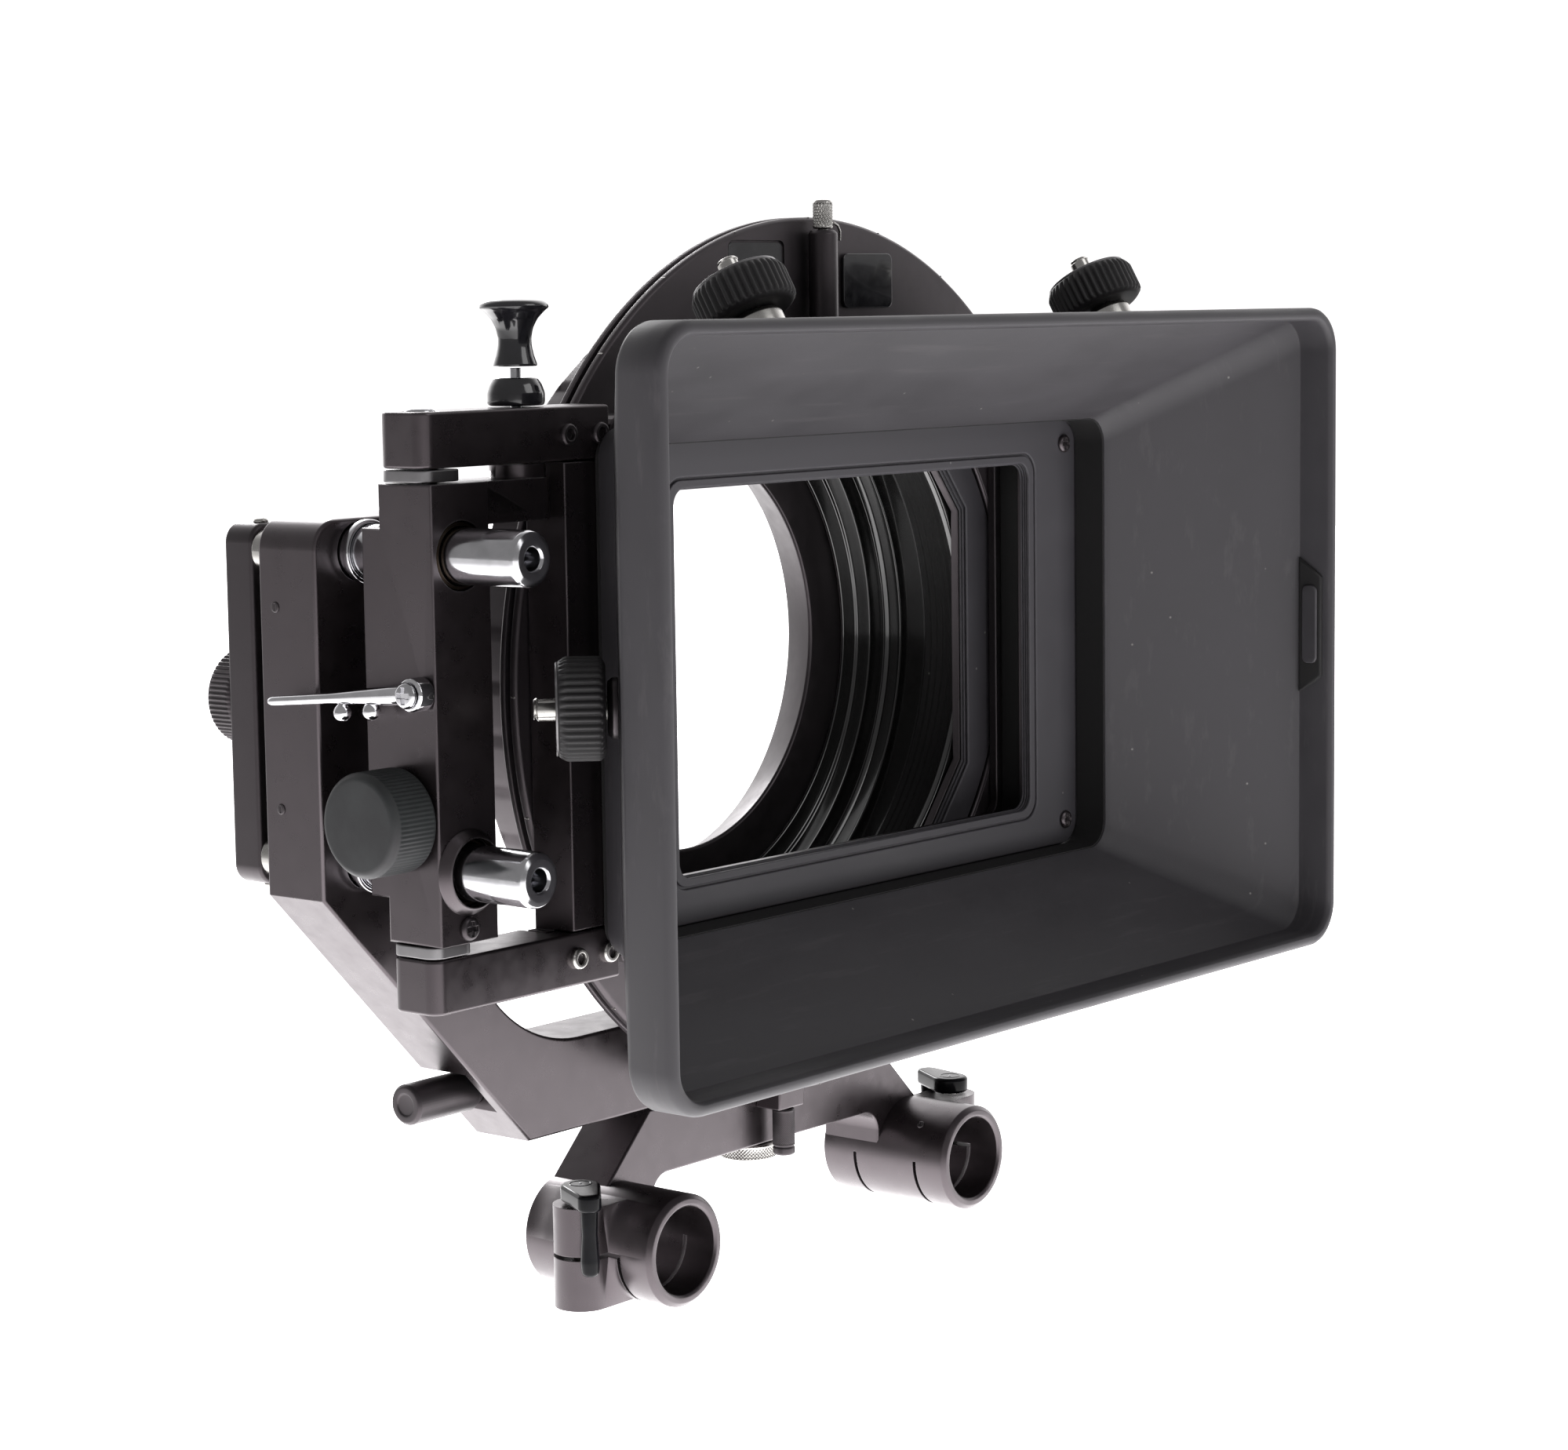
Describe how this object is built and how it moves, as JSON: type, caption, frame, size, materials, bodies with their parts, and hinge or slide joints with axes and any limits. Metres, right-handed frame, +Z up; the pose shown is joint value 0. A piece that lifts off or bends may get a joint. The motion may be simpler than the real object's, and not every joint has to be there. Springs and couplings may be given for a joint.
{
  "type": "matte box",
  "caption": "Swing-away camera matte box: rectangular hood, filter tray and rotating round stage, hinged on a slide carriage above a rod bridge clamp.",
  "frame": {"origin": "middle of the rear face of the bridge web, on the plane half-way between the two rods", "axes": "+Y back along the optical axis towards the camera, +Z up, +X to the right of a viewer who looks into the hood"},
  "size_m": [0.2651, 0.1119, 0.2349],
  "materials": {
    "anodised": "black satin anodised",
    "moulded": "matte, fine grain",
    "polished": "polished",
    "knurled": "black, knurled",
    "glossy": "gloss black",
    "bronze": "turned bearing bronze"
  },
  "bodies": {
    "bridge": {"bridge_bracket": "anodised", "console_plate": "anodised", "guide_rod_top": "polished", "guide_rod_bottom": "polished", "rear_plate": "anodised"},
    "clamp_left": {"rod_clamp_lever_left": "glossy", "rod_clamp_screw_left": "polished"},
    "clamp_right": {"rod_clamp_lever_right": "glossy", "rod_clamp_screw_right": "polished"},
    "lock_wheel": {"bridge_lock_wheel": "polished"},
    "lock_pull": {"bridge_lock_pin": "knurled"},
    "thumbwheel": {"rear_thumbwheel": "knurled"},
    "side_knob": {"side_knob": "knurled"},
    "carriage": {"slide_block": "anodised", "guide_bush_top": "bronze", "guide_bush_bottom": "bronze", "lever_pivot_screw": "polished", "hinge_spacer_top": "polished", "hinge_spacer_bottom": "polished", "hinge_pin_top": "polished", "hinge_pin_bottom": "polished"},
    "big_knob": {"carriage_clamp_knob": "knurled"},
    "lever": {"carriage_clamp_lever": "polished"},
    "swing": {"swing_arm_top": "anodised", "swing_arm_bottom": "anodised", "arm_screw_top_outer": "anodised", "arm_screw_top_inner": "anodised", "arm_screw_bottom_outer": "polished", "arm_screw_bottom_inner": "polished", "swing_upright": "anodised", "plunger_base": "glossy", "plunger_spring": "polished", "hood": "moulded", "mask_frame": "moulded", "mask_screw_upper_left": "anodised", "mask_screw_upper_right": "anodised", "mask_screw_lower_left": "anodised", "mask_screw_lower_right": "anodised", "filter_stage": "anodised", "stage_disc": "anodised", "label_plate": "moulded", "stage_lock_sleeve": "knurled", "rear_housing": "anodised", "lens_ring": "anodised", "flag_stud_top_left": "polished", "flag_stud_top_right": "polished", "flag_stud_left": "polished", "flag_stud_right": "polished"},
    "plunger": {"plunger_knob": "glossy", "plunger_pin": "polished"},
    "tray": {"filter_tray": "moulded"},
    "stage": {"rotating_ring": "anodised", "filter_retainer": "moulded"},
    "stage_lock": {"stage_lock_pin": "polished"},
    "flag_top_left": {"flag_knob_top_left": "knurled"},
    "flag_top_right": {"flag_knob_top_right": "knurled"},
    "flag_left": {"flag_knob_left": "knurled"},
    "flag_right": {"flag_knob_right": "knurled"}
  },
  "joints": [
    {"name": "left_rod_clamp_turn", "type": "hinge", "parent": "bridge", "child": "clamp_left", "pos_m": [-0.066, -0.0181, -0.00775], "axis": [0, 0, -1], "range_deg": [0, 110]},
    {"name": "right_rod_clamp_turn", "type": "hinge", "parent": "bridge", "child": "clamp_right", "pos_m": [0.066, -0.0181, -0.00775], "axis": [0, 0, -1], "range_deg": [0, 120]},
    {"name": "bridge_wheel_turn", "type": "hinge", "parent": "bridge", "child": "lock_wheel", "pos_m": [0, -0.0096, -0.00745], "axis": [0, 0, -1], "range_deg": [0, 180]},
    {"name": "bridge_pin_pull", "type": "slide", "parent": "bridge", "child": "lock_pull", "axis": [0, 0, -1], "range_m": [0, 0.004]},
    {"name": "rear_wheel_turn", "type": "hinge", "parent": "bridge", "child": "thumbwheel", "pos_m": [-0.124, 0.0124, 0.10435], "axis": [0, 1, 0], "range_deg": [0, 180]},
    {"name": "side_knob_turn", "type": "hinge", "parent": "bridge", "child": "side_knob", "pos_m": [-0.086, -0.0066, 0.01925], "axis": [-1, 0, 0], "range_deg": [0, 180]},
    {"name": "carriage_slide", "type": "slide", "parent": "bridge", "child": "carriage", "axis": [0, 1, 0], "range_m": [-0.018, 0.005]},
    {"name": "carriage_knob_turn", "type": "hinge", "parent": "carriage", "child": "big_knob", "pos_m": [-0.132, -0.0344, 0.08395], "axis": [-1, 0, 0], "range_deg": [0, 180]},
    {"name": "carriage_lever_lift", "type": "hinge", "parent": "carriage", "child": "lever", "pos_m": [-0.132, -0.0412, 0.10875], "axis": [1, 0, 0], "range_deg": [0, 75]},
    {"name": "swing_away", "type": "hinge", "parent": "carriage", "child": "swing", "pos_m": [-0.1262, -0.036, 0.10405], "axis": [0, 0, -1], "range_deg": [0, 100]},
    {"name": "plunger_lift", "type": "slide", "parent": "swing", "child": "plunger", "axis": [0, 0, 1], "range_m": [-0.002, 0.003]},
    {"name": "filter_tray_pull", "type": "slide", "parent": "swing", "child": "tray", "axis": [1, 0, 0], "range_m": [0, 0.15]},
    {"name": "stage_turn", "type": "hinge", "parent": "swing", "child": "stage", "pos_m": [0, -0.0313, 0.10405], "axis": [0, 1, 0], "continuous": true},
    {"name": "stage_lock_lift", "type": "slide", "parent": "swing", "child": "stage_lock", "axis": [0, 0, 1], "range_m": [0, 0.004]},
    {"name": "top_left_flag_knob_turn", "type": "hinge", "parent": "swing", "child": "flag_top_left", "pos_m": [-0.062, -0.0676, 0.17605], "axis": [0, 0.4979, 0.8672], "range_deg": [0, 180]},
    {"name": "top_right_flag_knob_turn", "type": "hinge", "parent": "swing", "child": "flag_top_right", "pos_m": [0.062, -0.0676, 0.17605], "axis": [0, 0.4979, 0.8672], "range_deg": [0, 180]},
    {"name": "left_flag_knob_turn", "type": "hinge", "parent": "swing", "child": "flag_left", "pos_m": [-0.1024, -0.0646, 0.10455], "axis": [-0.6759, 0.737, 0], "range_deg": [0, 180]},
    {"name": "right_flag_knob_turn", "type": "hinge", "parent": "swing", "child": "flag_right", "pos_m": [0.1024, -0.0646, 0.10455], "axis": [0.6759, 0.737, 0], "range_deg": [0, 180]}
  ]
}
